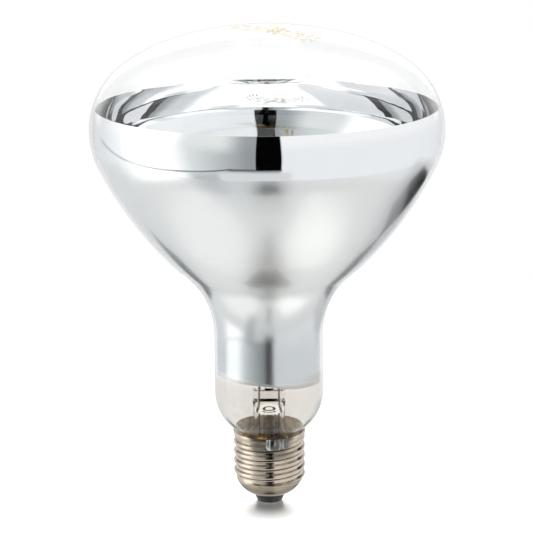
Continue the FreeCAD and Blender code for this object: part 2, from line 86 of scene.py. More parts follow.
DRAWN_R = NECK_RADIUS - NECK_END_RADIUS * (1 - cos(NECK_END_ANGLE))
DRAWN_Z = NECK_LOW - NECK_END_RADIUS * sin(NECK_END_ANGLE)
CONE_R = SEAL_RADIUS + SEAL_BEND * (1 - cos(NECK_END_ANGLE))
CONE_Z = DRAWN_Z - (DRAWN_R - CONE_R) / math.tan(math.radians(NECK_END_ANGLE))
SEAL_TOP = CONE_Z - SEAL_BEND * sin(NECK_END_ANGLE)

FILM_RISE = 8.5
FILM_FOOT = 48.5
FROST_Z = 133.2
# How the film's lower edge leans: its lift, the rise to one side, and the angle of the lowest side
FOOT_LIFT, FOOT_RISE, FOOT_SIDE = 0.4, 1.7, 12

ROUND_STEPS = 224


def arc(centre_r, centre_z, radius, first, last, steps):
    """Points of an arc in the (radius, height) plane, angles counted up from the level."""
    angles = [first + (last - first) * step / steps for step in range(steps + 1)]
    return [(centre_r + radius * cos(angle), centre_z + radius * sin(angle)) for angle in angles]


def straight(start, end, steps):
    """Points of a straight stretch, both ends among them."""
    return [
        tuple(a + (b - a) * step / steps for a, b in zip(start, end))
        for step in range(steps + 1)
    ]


def join(*stretches):
    """One line through several stretches, with no point twice."""
    line = []
    for stretch in stretches:
        line += [point for point in stretch if not line or math.dist(point, line[-1]) > 1e-6]
    return line


def dome_line(inset):
    """The outside from the pole to the widest point, moved in by inset."""
    shoulder = SHOULDER_RADIUS - inset
    return join(
        arc(0, POLE_Z, POLE_RADIUS - inset, 90, HAUNCH_ANGLE, 24),
        arc(HAUNCH_R, HAUNCH_Z, HAUNCH_RADIUS - inset, HAUNCH_ANGLE, SHOULDER_ANGLE, 16),
        arc(MAX_RADIUS - SHOULDER_RADIUS, WIDEST_Z, shoulder, SHOULDER_ANGLE, 0, 26),
    )


def funnel_line(inset):
    """The outside from the widest point to the throat, moved in by inset."""
    flank_r = UNDER_R - FLANK_RADIUS * cos(UNDER_ANGLE)
    flank_z = UNDER_Z + FLANK_RADIUS * sin(UNDER_ANGLE)
    under_r = MAX_RADIUS - UNDER_RADIUS
    throat_r = NECK_RADIUS + THROAT_RADIUS
    return join(
        arc(under_r, WIDEST_Z, UNDER_RADIUS - inset, 0, -UNDER_ANGLE, 14),
        arc(flank_r, flank_z, FLANK_RADIUS - inset, -UNDER_ANGLE, -THROAT_ANGLE, 22),
        arc(throat_r, NECK_TOP, THROAT_RADIUS + inset, 180 - THROAT_ANGLE, 180, 20),
    )


def end_line(inset):
    """The neck and its drawn-in end down to the seal, moved in by inset."""
    drawn_r = NECK_RADIUS - NECK_END_RADIUS
    seal_r = SEAL_RADIUS + SEAL_BEND
    return join(
        straight((NECK_RADIUS - inset, NECK_TOP), (NECK_RADIUS - inset, NECK_LOW), 6),
        arc(drawn_r, NECK_LOW, NECK_END_RADIUS - inset, 0, -NECK_END_ANGLE, 16),
        arc(seal_r, SEAL_TOP, SEAL_BEND + inset, 180 - NECK_END_ANGLE, 180, 8),
        straight((SEAL_RADIUS - inset, SEAL_TOP), (SEAL_RADIUS - inset, SEAL_TOP - SEAL_LENGTH), 2),
    )


# Meshes

def new_object(name, vertices, faces):
    """An object with a mesh from millimetres."""
    mesh = bpy.data.meshes.new(name)
    mesh.from_pydata([[value * MM for value in vertex] for vertex in vertices], [], faces)
    thing = bpy.data.objects.new(name, mesh)
    bpy.context.scene.collection.objects.link(thing)
    return thing


def new_piece(name, vertices, faces, slot, sharp=40, node=None):
    """A piece from millimetres, smooth apart from edges sharper than that angle."""
    piece = new_object(name, vertices, faces)
    piece.data.validate()
    piece.data.shade_smooth()
    piece.data.set_sharp_from_angle(angle=math.radians(sharp))
    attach(piece, "root")
    if node:
        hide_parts(node)
    return piece


def grid_faces(rings, steps, closed_line):
    """Faces of a grid of rings, each of steps vertices."""
    faces = []
    for ring in range(rings if closed_line else rings - 1):
        low, high = ring * steps, (ring + 1) % rings * steps
        for step in range(steps):
            after = (step + 1) % steps
            faces.append((low + step, low + after, high + after, high + step))
    return faces


def lathe(lines, steps=ROUND_STEPS):
    """A closed surface round the axis. lines(angle) gives its closed outline at that angle."""
    outlines = [lines(360 * step / steps) for step in range(steps)]
    count = len(outlines[0])
    vertices = [
        (outlines[step][index][0] * cos(360 * step / steps),
         outlines[step][index][0] * sin(360 * step / steps),
         outlines[step][index][1])
        for index in range(count)
        for step in range(steps)
    ]
    return vertices, grid_faces(count, steps, closed_line=True)


def merge_pole(piece):
    """Joins the vertices that a lathe leaves at one place on the axis."""
    shape = bmesh.new()
    shape.from_mesh(piece.data)
    bmesh.ops.remove_doubles(shape, verts=shape.verts, dist=1e-6)
    shape.to_mesh(piece.data)
    shape.free()


def make_glass():
    """The blown bulb, a closed shell of even thickness."""
    outside = join(dome_line(0), funnel_line(0), end_line(0))
    inside = join(dome_line(GLASS_WALL), funnel_line(GLASS_WALL), end_line(GLASS_WALL))
    outline = (outside + inside[::-1])[::-1]
    piece = new_piece("bulb_glass", *lathe(lambda angle: outline), "clear_glass", node="glass_envelope")
    merge_pole(piece)
    return piece


def film_foot(angle):
    """Height of the film's lower edge, which the masking left a little uneven."""
    level = FILM_FOOT + FOOT_LIFT - FOOT_RISE * cos(angle - FOOT_SIDE)
    return level + 0.3 * sin(3 * angle + 40) + 0.15 * sin(7 * angle)


def make_film():
    """The aluminium film, as a thin skin just inside the glass."""
    def side(inset, foot):
        shoulder = SHOULDER_RADIUS - inset
        rim_angle = math.degrees(math.asin(FILM_RISE / shoulder))
        rim = arc(MAX_RADIUS - SHOULDER_RADIUS, WIDEST_Z, shoulder, rim_angle, 0, 12)
        neck = straight((NECK_RADIUS - inset, NECK_TOP), (NECK_RADIUS - inset, foot), 6)
        return join(rim, funnel_line(inset), neck)

    def outline(angle):
        foot = film_foot(angle)
        outside = side(GLASS_WALL + FILM_GAP, foot)
        inside = side(GLASS_WALL + FILM_GAP + FILM_WALL, foot)
        return (outside + inside[::-1])[::-1]

    return new_piece("mirror_film", *lathe(outline), "mirror_film", node="reflector_coating")


# Screw cap

CAP_LENGTH = 27.9
CREST_RADIUS, ROOT_RADIUS = 13.1, 12.2
RIM_RADIUS, RIM_HEIGHT = 13.3, 0.8
CAP_SHEET = 0.3
COLLAR_HEIGHT, COLLAR_BEND, COLLAR_START, COLLAR_END = 9.0, 10.0, 22.0, 71.0
THREAD_PITCH = 3.629
THREAD_ROUND = 1.025
THREAD_TILT = 40.25
THREAD_START = 10.4
THREAD_FADE_LOW = (9.0, 10.6)
THREAD_FADE_HIGH = (24.2, 24.9)
THREAD_FADE_RIM = (25.6, 26.6)
THREAD_TRACE = 0.2
SHELL_RINGS, SHELL_STEPS = 96, 192


def smooth(low, high, value):
    """0 below low, 1 above high, and a smooth rise between them."""
    share = min(max((value - low) / (high - low), 0), 1)
    return share * share * (3 - 2 * share)


def thread_depth(z, angle):
    """How far the rolled thread lies under its crest."""
    turn = (z - THREAD_START) / THREAD_PITCH - angle / 360
    away = abs(turn - round(turn)) * THREAD_PITCH
    bend = THREAD_ROUND * sin(THREAD_TILT)
    half = THREAD_PITCH / 2
    if away < bend:
        return THREAD_ROUND - math.sqrt(THREAD_ROUND**2 - away**2)
    if away > half - bend:
        return CREST_RADIUS - ROOT_RADIUS - THREAD_ROUND + math.sqrt(THREAD_ROUND**2 - (half - away) ** 2)
    return THREAD_ROUND * (1 - cos(THREAD_TILT)) + (away - bend) * math.tan(math.radians(THREAD_TILT))


def shell_radius(z, angle):
    """Radius of the cap's skirt, its thread fading into the collar below and the plain rim above."""
    rise = smooth(*THREAD_FADE_LOW, z) * (CREST_RADIUS - ROOT_RADIUS)
    crest = ROOT_RADIUS + rise
    room = THREAD_TRACE + (rise - THREAD_TRACE) * (1 - smooth(*THREAD_FADE_HIGH, z))
    depth = min(thread_depth(z, angle), room * (1 - smooth(*THREAD_FADE_RIM, z)), rise)
    lip = (RIM_RADIUS - CREST_RADIUS) * smooth(CAP_LENGTH - 2 * RIM_HEIGHT, CAP_LENGTH - RIM_HEIGHT, z)
    return crest - depth + lip


def make_shell():
    """The cap's rolled shell, from the collar over the thread to the rim."""
    collar_r = ROOT_RADIUS - COLLAR_BEND * cos(COLLAR_START)
    collar_z = COLLAR_HEIGHT + COLLAR_BEND * sin(COLLAR_START)
    rise = CAP_LENGTH - COLLAR_HEIGHT
    heights = [COLLAR_HEIGHT + rise * ring / SHELL_RINGS for ring in range(1, SHELL_RINGS + 1)]

    def side(inset, angle):
        collar = arc(collar_r, collar_z, COLLAR_BEND - inset, -COLLAR_END, -COLLAR_START, 10)
        return collar + [(shell_radius(z, angle) - inset, z) for z in heights]

    def outline(angle):
        return side(0, angle) + side(CAP_SHEET, angle)[::-1]

    return new_piece("threaded_shell", *lathe(outline, SHELL_STEPS), "cap_metal", node="cap_shell")


# Filament

RING_RADIUS, RING_CORNERS = 13.0, 7
COIL_RADIUS = 0.8
COIL_WIRE = 0.13
COIL_PITCH = 0.52
COIL_BEND = 1.2
WIRE_SIDES = 6
TURN_STEPS = 14


def tube(points, radius, sides):
    """A closed round tube along points, its section turned as little as it can be."""
    vertices = []
    across = Vector((0, 0, 1))
    for index, point in enumerate(points):
        before, after = points[max(index - 1, 0)], points[min(index + 1, len(points) - 1)]
        way = (after - before).normalized()
        across = (across - way * across.dot(way)).normalized()
        other = way.cross(across)
        for side in range(sides):
            turn = 360 * side / sides
            vertices.append(point + (across * cos(turn) + other * sin(turn)) * radius)
    count = len(points)
    faces = grid_faces(count, sides, closed_line=False)
    faces.append(tuple(range(sides))[::-1])
    faces.append(tuple((count - 1) * sides + side for side in range(sides)))
    return vertices, faces


def make_filament():
    """The tungsten wire, wound in a coil that is strung from corner to corner of its ring."""
    low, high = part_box("filament")
    height = (low.z + high.z) / 2 / MM
    step = 360 / RING_CORNERS
    angles = [90 + (0.5 + index) * step for index in range(RING_CORNERS)]
    corners = [Vector((RING_RADIUS * cos(angle), RING_RADIUS * sin(angle), height)) for angle in angles]
    side = (corners[1] - corners[0]).length
    total = side * (RING_CORNERS - 1)
    turns = round(total / COIL_PITCH)
    up = Vector((0, 0, 1))
    reach = COIL_RADIUS - COIL_WIRE
    points = []
    for index in range(turns * TURN_STEPS + 1):
        length = total * index / (turns * TURN_STEPS)
        place = min(int(length / side), RING_CORNERS - 2)
        along = length - place * side
        way = (corners[place + 1] - corners[place]).normalized()
        middle = corners[place] + way * along
        if along > side - COIL_BEND and place < RING_CORNERS - 2:
            ahead = (corners[place + 2] - corners[place + 1]).normalized()
            way = way.lerp(ahead, 0.5 * (along - side + COIL_BEND) / COIL_BEND).normalized()
        if along < COIL_BEND and place:
            behind = (corners[place] - corners[place - 1]).normalized()
            way = way.lerp(behind, 0.5 * (COIL_BEND - along) / COIL_BEND).normalized()
        out = way.cross(up)
        turn = 360 * index / TURN_STEPS
        points.append(middle + (out * cos(turn) + up * sin(turn)) * reach)
    coil = tube(points, COIL_WIRE, WIRE_SIDES)
    return new_piece("wound_filament", *coil, "tungsten", sharp=80, node="filament")


# Plain dashes printed on the dome

DASH_SLANT = -32.0
# Middle of each group, and its columns and rows
DASH_GROUPS = [(-3.8, -3.6, 11, 4), (8.6, -12.6, 9, 4)]
DASH_STEP, DASH_ROW = 2.0, 2.6
DASH_HALF_WIDTH, DASH_LIFT = 0.42, 0.03


def dome_point(x, y, lift):
    """A point on the dome's outside, raised by lift."""
    radius = POLE_RADIUS + lift
    return (x, y, POLE_Z + math.sqrt(radius**2 - x * x - y * y))


def make_dashes():
    """Short strokes of three lengths in two slanted groups, each a little raised above the glass."""
    strokes = []
    for middle_x, middle_y, columns, rows in DASH_GROUPS:
        for row in range(rows):
            for column in range(columns):
                if (3 * column + 5 * row) % 7 == 4:
                    continue
                along = (column - (columns - 1) / 2) * DASH_STEP + 0.5 * sin(97 * column + 41 * row)
                down = (row - (rows - 1) / 2) * DASH_ROW
                x = middle_x + along * cos(DASH_SLANT) + down * sin(DASH_SLANT)
                y = middle_y + along * sin(DASH_SLANT) - down * cos(DASH_SLANT)
                strokes.append((x, y, 0.45 + 0.25 * ((column + row) % 3)))
    vertices, faces = [], []
    way = (cos(DASH_SLANT), sin(DASH_SLANT))
    for x, y, half_length in strokes:
        start = len(vertices)
        for lift in (0.0, DASH_LIFT):
            for a, b in ((-1, -1), (1, -1), (1, 1), (-1, 1)):
                along, across = a * half_length, b * DASH_HALF_WIDTH
                place = (x + along * way[0] - across * way[1], y + along * way[1] + across * way[0])
                vertices.append(dome_point(*place, lift))
        faces.append(tuple(start + 4 + k for k in range(4)))
        faces.append(tuple(start + 3 - k for k in range(4)))
        for k in range(4):
            after = (k + 1) % 4
            faces.append((start + k, start + after, start + 4 + after, start + 4 + k))
    return new_piece("gold_dashes", vertices, faces, "contact_metal")


# Materials

class Nodes:
    """Adds nodes to one tree, each fed by the outputs that are named."""

    def __init__(self, tree):
        self.nodes = tree.nodes
        self.links = tree.links

    def link(self, source, target):
        self.links.new(source, target)

    def add(self, kind, **settings):
        node = self.nodes.new(kind)
        for name, value in settings.items():
            setattr(node, name, value)
        return node

    def math(self, operation, first, second=None, third=None):
        node = self.add("ShaderNodeMath", operation=operation)
        for socket, value in zip(node.inputs, (first, second, third)):
            if value is None:
                continue
            if isinstance(value, (int, float)):
                socket.default_value = value
            else:
                self.link(value, socket)
        return node.outputs["Value"]

    def product(self, first, *others):
        """All of them multiplied, one after another."""
        for other in others:
            first = self.math("MULTIPLY", first, other)
        return first

    def mix(self, share, first, colour):
        """The first colour, turned into another one by that share."""
        node = self.add("ShaderNodeMix", data_type="RGBA")
        self.link(share, node.inputs["Factor"])
        self.link(first, node.inputs["A"])
        node.inputs["B"].default_value = (*colour, 1)
        return node.outputs["Result"]

    def span(self, source, low, high, start=0.0, end=1.0, kind="SMOOTHSTEP"):
        """source between low and high, as start to end, and held outside."""
        node = self.add("ShaderNodeMapRange", interpolation_type=kind)
        if low > high:
            low, high, start, end = high, low, end, start
        for name, value in zip(("From Min", "From Max", "To Min", "To Max"), (low, high, start, end)):
            node.inputs[name].default_value = value
        self.link(source, node.inputs["Value"])
        return node.outputs["Result"]

    def ramp(self, source, stops):
        """A colour ramp of (place, colour or grey level) stops."""
        node = self.add("ShaderNodeValToRGB")
        elements = node.color_ramp.elements
        while len(elements) < len(stops):
            elements.new(0.5)
        for element, (place, colour) in zip(elements, stops):
            element.position = place
            element.color = (*colour, 1) if isinstance(colour, tuple) else (colour,) * 3 + (1,)
        self.link(source, node.inputs["Fac"])
        return node.outputs["Color"]

    def mirrored(self):
        """1 for light that a mirror has thrown, and 0 for what is seen straight or through glass."""
        path = self.add("ShaderNodeLightPath")
        return self.math("GREATER_THAN", path.outputs["Glossy Depth"], 0.5)


class Material(Nodes):
    """A node material, built from the shader backwards."""

    def __init__(self, name):
        self.material = bpy.data.materials.new(name)
        self.material.use_nodes = True
        super().__init__(self.material.node_tree)
        self.shader = self.nodes["Principled BSDF"]

    def set(self, **values):
        for name, value in values.items():
            self.shader.inputs[name.replace("_", " ")].default_value = value
        return self

    def feed(self, **sources):
        """Links sources to the shader's inputs."""
        for name, source in sources.items():
            self.link(source, self.shader.inputs[name.replace("_", " ")])

    def place(self):
        return self.add("ShaderNodeTexCoord").outputs["Object"]

    def axes(self):
        """The place on the object along each axis, in metres."""
        split = self.add("ShaderNodeSeparateXYZ")
        self.link(self.place(), split.inputs[0])
        return [split.outputs[axis] for axis in "XYZ"]

    def away(self, x, y):
        """The distance from the axis."""
        return self.math("SQRT", self.math("ADD", self.product(x, x), self.product(y, y)))

    def noise(self, scale, detail=4.0, stretch=(1, 1, 1)):
        """Noise by the place on the object, scale in waves per metre."""
        mapping = self.add("ShaderNodeMapping")
        mapping.inputs["Scale"].default_value = stretch
        self.link(self.place(), mapping.inputs["Vector"])
        node = self.add("ShaderNodeTexNoise")
        node.inputs["Scale"].default_value = scale
        node.inputs["Detail"].default_value = detail
        self.link(mapping.outputs["Vector"], node.inputs["Vector"])
        return node.outputs["Fac"]

    def multiply(self, first, second):
        """The product of two colours."""
        node = self.add("ShaderNodeMix", data_type="RGBA", blend_type="MULTIPLY")
        node.inputs["Factor"].default_value = 1.0
        self.link(first, node.inputs["A"])
        self.link(second, node.inputs["B"])
        return node.outputs["Result"]

    def bump(self, source, distance):
        """Bump by source, distance in millimetres."""
        node = self.add("ShaderNodeBump")
        node.inputs["Strength"].default_value = 1.0
        node.inputs["Distance"].default_value = distance * MM
        self.link(source, node.inputs["Height"])
        self.feed(Normal=node.outputs["Normal"])

    def span_mm(self, source, low, high, start=0.0, end=1.0):
        """span between two lengths in millimetres."""
        return self.span(source, low * MM, high * MM, start, end)


# Glass below the film: heights over which its colour changes, and what its body takes from the light
LOW_TINT_HEIGHTS = (50, 56)
GLASS_BODY = (0.60, 0.64, 0.64, 1)
GLASS_DENSITY = 18.0

# Film: heights over which its satin grows, its painted shade on the neck fades out and its rim brightens
SATIN_HEIGHTS = (72, 104)
NECK_SHADE_HEIGHTS = (58, 84)
RIM_HEIGHTS = (142, 146.5)
# The lean of the film's lower edge along X and Y, and the heights over which the edge thins out
EDGE_LEAN = (0.0885, 0.0188)
EDGE_HEIGHTS = (FILM_FOOT + 1.2, FILM_FOOT + 3.6)
LEAST_ROUGHNESS = 0.025

# Cap: radii between which painted shade lies on the thread's flanks, and the dark halo round the solder,
# partly flux and partly a painted dark reflection below it
FLANK_SHADE_RADII = ((12.3, 12.5), (12.98, 12.8))
HALO_X, HALO_WIDTH = 2.6, 11.5
HALO_Z, HALO_HEIGHT = 26.0, 7.0


def glass_material(name, tint, waves=0.004, low_tint=None, ior=1.5, haze=0.0):
    """Clear glass; low_tint is its colour below the film, where a little of the metal has settled."""
    look = Material(name)
    look.set(Base_Color=(*tint, 1), Roughness=haze, IOR=ior, Transmission_Weight=1.0)
    if low_tint:
        height = look.math("MULTIPLY_ADD", look.noise(70, detail=3), 0.006, look.axes()[2])
        share = look.span_mm(height, *LOW_TINT_HEIGHTS)
        look.feed(Base_Color=look.ramp(share, [(0.0, low_tint), (1.0, tint)]))
        body = look.add("ShaderNodeVolumeAbsorption")
        body.inputs["Color"].default_value = GLASS_BODY
        body.inputs["Density"].default_value = GLASS_DENSITY
        look.link(body.outputs["Volume"], look.nodes["Material Output"].inputs["Volume"])
    look.bump(look.noise(60, detail=2), waves)
    return look.material


def film_material():
    """Aluminium, bright on the inside and above the frost line, satin on the outside below it."""
    look = Material("aluminium_film")
    look.set(Metallic=1.0)
    x, y, height = look.axes()
    wave = look.math("MULTIPLY_ADD", look.noise(25, detail=1), 0.0016, height)
    below = look.span_mm(wave, FROST_Z + 0.6, FROST_Z + 1.0, 1.0, 0.0)
    satin = look.span_mm(height, *SATIN_HEIGHTS, 0.21, 0.25)
    rough = look.product(below, outside_of_film(look), satin)
    lean = look.math("MULTIPLY_ADD", x, EDGE_LEAN[0], look.product(y, EDGE_LEAN[1]))
    torn = look.math("MULTIPLY_ADD", look.noise(300, detail=4), 1.2 * MM, look.math("ADD", height, lean))
    edge = look.span_mm(torn, *EDGE_HEIGHTS, 1.0, 0.0)
    rough = look.math("MAXIMUM", rough, look.product(edge, 0.5))
    cloud = look.ramp(look.noise(40, detail=3), [(0.3, (0.88, 0.89, 0.90)), (0.7, (0.92, 0.93, 0.94))])
    # The film's colour darkened on the neck: painted shade
    neck = look.ramp(look.span_mm(height, *NECK_SHADE_HEIGHTS), [(0.0, (0.74, 0.76, 0.76)), (1.0, 1.0)])
    colour = look.mix(look.span_mm(height, *RIM_HEIGHTS), look.multiply(cloud, neck), (0.98, 0.98, 0.98))
    look.feed(
        Roughness=look.math("ADD", rough, LEAST_ROUGHNESS),
        Base_Color=look.mix(edge, colour, (0.90, 0.885, 0.86)),
    )
    look.bump(look.noise(26, detail=2), 0.3)
    return look.material


def outside_of_film(look):
    """1 on the film's outer skin and 0 on its inner one, told by the normal's way out from the axis."""
    geometry = look.add("ShaderNodeNewGeometry")
    split = look.add("ShaderNodeVectorMath", operation="MULTIPLY")
    split.inputs[1].default_value = (1, 1, 0)
    look.link(look.place(), split.inputs[0])
    dot = look.add("ShaderNodeVectorMath", operation="DOT_PRODUCT")
    look.link(split.outputs["Vector"], dot.inputs[0])
    look.link(geometry.outputs["True Normal"], dot.inputs[1])
    return look.math("GREATER_THAN", dot.outputs["Value"], 0.0)


def metal_material(name, light, dark, roughness, scale=300, bump=0.01):
    """Metal of two clouded tones, and of two degrees of roughness."""
    look = Material(name)
    look.set(Metallic=1.0)
    low, high = roughness
    look.feed(
        Base_Color=look.ramp(look.noise(scale), [(0.35, dark), (0.65, light)]),
        Roughness=look.ramp(look.noise(scale * 1.7), [(0.3, low), (0.7, high)]),
    )
    look.bump(look.noise(scale * 3), bump)
    return look.material


def cap_material():
    """Nickel-plated brass, a little stained by the flux along the front of its rim, with painted shade on
    the thread's flanks and its lower front, and a painted dark reflection below the solder.
    """
    look = Material("nickel_plate")
    look.set(Metallic=1.0)
    cloud = look.noise(160, detail=5, stretch=(1, 1, 0.5))
    plate = look.ramp(cloud, [(0.35, (0.54, 0.47, 0.385)), (0.65, (0.70, 0.615, 0.505))])
    x, y, z = look.axes()
    radius = look.away(x, y)
    # Painted shade on the thread's flanks, between the two radii
    flank_shade = look.product(
        look.product(*(look.span_mm(radius, *radii) for radii in FLANK_SHADE_RADII)),
        look.span(look.noise(240, detail=3), 0.2, 0.6, 0.35, 0.85),
    )
    plate = look.mix(flank_shade, plate, (0.12, 0.085, 0.06))
    near_rim = look.span_mm(look.math("MULTIPLY_ADD", look.noise(500), 1.4 * MM, z), 26.9, 28.2)
    front = look.span_mm(y, -9.0, -12.0)
    stain = look.product(near_rim, front, look.span_mm(x, -10.0, -5.0))
    plate = look.mix(stain, plate, (0.09, 0.045, 0.025))
    # The dark halo round the solder: partly flux, and partly a painted dark reflection running down the
    # middle of the cap below it
    aside, above = (
        look.math("POWER", look.math("MULTIPLY_ADD", value, 1 / (size * MM), -middle / size), 2.0)
        for value, middle, size in ((x, HALO_X, HALO_WIDTH), (z, HALO_Z, HALO_HEIGHT))
    )
    halo = look.math("ADD", look.math("ADD", aside, above), look.product(look.noise(380, detail=3), 0.7))
    halo = look.product(look.span(halo, 1.45, 0.8, 0.0, 0.72), front)
    plate = look.mix(halo, plate, (0.13, 0.11, 0.085))
    # Painted shade on the cap's lower front
    lower_front_shade = look.product(look.span_mm(z, 11.0, 7.0, 0.0, 0.75), look.span_mm(y, -1.0, -8.0))
    look.feed(
        Base_Color=look.mix(lower_front_shade, plate, (0.10, 0.08, 0.06)),
        Roughness=look.ramp(look.noise(330, detail=4), [(0.3, 0.1), (0.7, 0.2)]),
    )
    look.bump(look.noise(420, detail=3), 0.02)
    return look.material


def solder_material():
    """Tin solder that ran down and set in upright folds, with painted shade in the folds' hollows."""
    look = Material("soft_solder")
    look.set(Metallic=1.0)
    folds = look.noise(520, detail=1.5, stretch=(1, 1, 0.12))
    # Darker where the folds are low: painted shade in their hollows
    look.feed(
        Base_Color=look.ramp(folds, [(0.40, (0.14, 0.14, 0.13)), (0.54, (0.62, 0.63, 0.59))]),
        Roughness=look.ramp(look.noise(400), [(0.3, 0.2), (0.7, 0.38)]),
    )
    look.bump(folds, 0.5)
    return look.material


def cement_material():
    """Baked cement, darker towards the front, its dark front edge partly flux and partly painted shade of
    the gap under the cap's rim, with painted amber highlights there. It glows a little, because no light
    reaches it through the glass."""
    look = Material("baked_cement")
    grain = look.ramp(look.noise(250, detail=6), [(0.3, (0.40, 0.29, 0.19)), (0.7, (0.76, 0.62, 0.46))])
    patches = look.ramp(look.noise(110, detail=3), [(0.42, 0.30), (0.54, 1.0)])
    y = look.axes()[1]
    # Darker towards the front: painted shade under the cap's rim
    cement = look.multiply(look.multiply(grain, patches), look.span_mm(y, -3.0, -11.0, 1.0, 0.4))
    # The dark front edge: partly flux, partly painted shade of the gap under the cap's rim
    flux = look.span_mm(y, -7.0, -11.0)
    # Amber glints: painted highlights, which also glow through the emission
    painted_highlight = look.product(flux, look.span(look.noise(420, detail=3), 0.52, 0.62))
    colour = look.mix(painted_highlight, look.mix(flux, cement, (0.06, 0.035, 0.025)), (0.50, 0.27, 0.05))
    look.feed(Base_Color=colour, Emission_Color=colour)
    look.set(Roughness=0.75, Emission_Strength=0.26)
    look.bump(look.noise(900), 0.15)
    return look.material


def black_glass_material():
    look = Material("black_glass")
    tones = [(0.3, (0.004, 0.004, 0.005)), (0.7, (0.014, 0.014, 0.016))]
    look.feed(Base_Color=look.ramp(look.noise(150), tones))
    look.set(Roughness=0.12, IOR=1.35)
    look.bump(look.noise(120), 0.1)
    return look.material


def dress_nodes():
    """Gives the pieces that stay as in CAD their materials."""
    stem_glass = glass_material("stem_glass", (0.91, 0.895, 0.87), waves=0.8, ior=1.22, haze=0.08)
    nickel = metal_material("nickel_wire", (0.42, 0.40, 0.37), (0.25, 0.24, 0.22), (0.2, 0.35), 600)
    oxide = metal_material("dark_wire", (0.16, 0.14, 0.12), (0.07, 0.06, 0.05), (0.3, 0.5), 600)
    copper = metal_material("copper_wire", (0.40, 0.22, 0.15), (0.20, 0.10, 0.07), (0.25, 0.4), 600)
    molybdenum = metal_material("molybdenum_wire", (0.45, 0.45, 0.47), (0.30, 0.30, 0.32), (0.25, 0.4), 600)
    solder = solder_material()
    brass = metal_material("contact_brass", (0.72, 0.60, 0.38), (0.55, 0.43, 0.25), (0.2, 0.4), 300)
    looks = {
        "stem": stem_glass,
        "exhaust_tube": stem_glass,
        "support_rod": stem_glass,
        "inner_lead_left": nickel,
        "inner_lead_right": nickel,
        "centre_lead": oxide,
        "side_lead": oxide,
        "press_seal_left": copper,
        "press_seal_right": copper,
        "basing_cement": cement_material(),
        "cap_insulator": black_glass_material(),
        "centre_contact": brass,
        "contact_solder": solder,
        "side_solder": solder,
    }
    looks.update({f"filament_support_{index}": molybdenum for index in range(1, RING_CORNERS - 1)})
    for node, look in looks.items():
        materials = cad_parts[node].data.materials
        materials.clear()
        materials.append(look)


# Studio

WHITE = (0.93, 0.935, 0.955)
DARK = (0.001, 0.001, 0.001)

# Colour of the studio's sides by azimuth: a soft box on the left, a grey screen beside the camera
SIDES = [
    (-180, (0.92, 0.925, 0.94)),
    (-132, (0.86, 0.87, 0.89)),
    (-108, (1.06, 1.06, 1.07)),
    (-96, (1.6, 1.6, 1.6)),
    (-70, (1.6, 1.6, 1.6)),
    (-62, (1.16, 1.17, 1.18)),
    (-50, (0.80, 0.83, 0.84)),
    (-30, (0.54, 0.57, 0.58)),
    (-12, (0.34, 0.36, 0.37)),
    (8, (0.32, 0.34, 0.35)),
    (9, WHITE),
    (180, WHITE),
]

# Colour, azimuths, elevations and softness of what hangs or lies in front of the sides
PANELS = [
    ((0.84, 0.84, 0.83), (-190, 190), (-95, -36), 4),
    ((1.06, 1.06, 1.04), (-135, -42), (-80, -50), 14),
    ((1.2, 1.2, 1.16), (40, 128), (-82, -58), 14),
    ((0.6, 0.59, 0.57), (-190, 190), (-95, -84), 8),
    ((0.05, 0.035, 0.02), (149, 190), (-83, -70), 4),
    ((0.05, 0.035, 0.02), (-190, -148), (-83, -70), 4),
    ((0.82, 0.84, 0.85), (-175, -118), (-50, -22), 8),
    ((0.15, 0.15, 0.15), (-163, -147), (-42, -34), 4),
    ((0.54, 0.57, 0.58), (-54, -9), (-60, -27), 12),
    ((0.66, 0.67, 0.68), (118, 165), (-44, -21), 8),
    ((0.2, 0.2, 0.2), (147, 161), (-42, -34), 4),
    ((0.80, 0.82, 0.82), (-58, -24), (4, 38), 18),
    ((1.5, 1.5, 1.49), (95, 190), (32, 64), 12),
    ((1.5, 1.5, 1.49), (-190, -95), (32, 64), 12),
    ((1.5, 1.5, 1.49), (-190, 190), (62, 95), 10),
    ((1.4, 1.4, 1.4), (140, 190), (0, 36), 10),
    ((1.4, 1.4, 1.4), (-190, -140), (0, 36), 10),
    ((0.16, 0.16, 0.17), (-26, 9), (-23, -20), 1.5),
    (DARK, (-7.0, 8.6), (-21.5, 90), 0.6),
    ((0.76, 0.77, 0.78), (-34, 16), (-62, -25), 6),
]

# Black cards: what sees each (film, cap or both), centre, azimuth, tilt, size, soft border, cover, and
# the heights on the card over which that cover grows to full, if it does
CARDS = {
    "side_card": ("both", (105.7, 44.3, 64.0), 142, 90, (46, 60), 5, 0.6, (-8, 4)),
    "table_card": ("film", (2.2, -181.0, -1.0), 0, 0, (56, 112), 11, 0.92, None),
    "foot_card": ("film", (1.0, -58.0, -1.0), 0, 0, (22, 46), 9, 0.4, None),
    "front_card": ("cap", (1.0, -150.0, 5.0), 0, 90, (86, 300), 14, 0.8, None),
}

# The table's edge: the azimuth it is nearest at, its slope there, its half width and colour
TABLE_EDGE = (-62.0, 0.47, 0.02, (0.2, 0.2, 0.21))
TABLE_SIDES = (-134, -24)
# Azimuths over which the edge darkens to full, and its share at the first
TABLE_DEPTH = (-120, -25, 0.42)

TABLE_RADIUS, TABLE_THICKNESS, TABLE_STEPS = 330.0, 12.0, 96
# Distances from the tip between which the table stops mirroring and starts to glow
TABLE_MIRROR = (8, 26)


